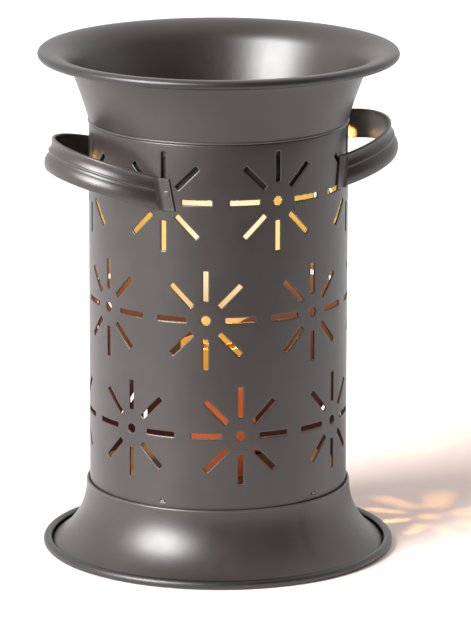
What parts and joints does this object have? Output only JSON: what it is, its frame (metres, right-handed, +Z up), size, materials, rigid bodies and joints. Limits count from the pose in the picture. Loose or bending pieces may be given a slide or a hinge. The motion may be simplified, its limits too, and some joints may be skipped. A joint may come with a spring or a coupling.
{
  "type": "electric wax warmer",
  "caption": "Electric wax warmer of punched tin: a flared dish that lifts off melts wax over a globe bulb, in a tube cut with starburst slots, on a flared base with loop handles.",
  "frame": {"origin": "middle of the base, on the table it stands on", "axes": "+Z up along the tube's axis, -Y towards the front, +X to the right seen from the front"},
  "size_m": [0.1272, 0.127, 0.1791],
  "materials": {
    "tin_paint": "satin, dark brownish grey",
    "bare_tin": "rolled tinplate",
    "zinc_steel": "zinc plated",
    "brass_sheet": "drawn sheet",
    "black_moulding": "moulded, matt",
    "cream_sleeve": "matt, pale",
    "bulb_glass": "frosted",
    "filament_wire": "drawn wire"
  },
  "bodies": {
    "warmer": {"base_skirt": "tin_paint", "body_shell": "tin_paint", "left_handle": "tin_paint", "right_handle": "tin_paint", "handle_rivets": "tin_paint", "socket_plate": "bare_tin", "lamp_pipe": "zinc_steel", "pipe_nuts": "zinc_steel", "pipe_washers": "zinc_steel", "socket_bracket": "zinc_steel", "socket_body": "black_moulding", "socket_screw_shell": "brass_sheet", "socket_centre_contact": "brass_sheet", "socket_rivet": "brass_sheet", "terminal_screws": "brass_sheet", "socket_sleeve": "cream_sleeve", "cord_bushing": "black_moulding", "bottom_cover": "bare_tin"},
    "dish": {"wax_dish": "tin_paint"},
    "bulb": {"bulb_glass": "bulb_glass", "bulb_cap": "brass_sheet", "bulb_insulator": "black_moulding", "bulb_contact": "zinc_steel", "bulb_stem": "bulb_glass", "bulb_lead_wires": "filament_wire", "bulb_filament": "filament_wire"}
  },
  "joints": [
    {"name": "dish_lift", "type": "slide", "parent": "warmer", "child": "dish", "axis": [0, 0, 1], "range_m": [0, 0.08]},
    {"name": "bulb_turn", "type": "hinge", "parent": "warmer", "child": "bulb", "pos_m": [0, 0, 0.09], "axis": [0, 0, 1], "range_deg": [0, 1760]}
  ]
}
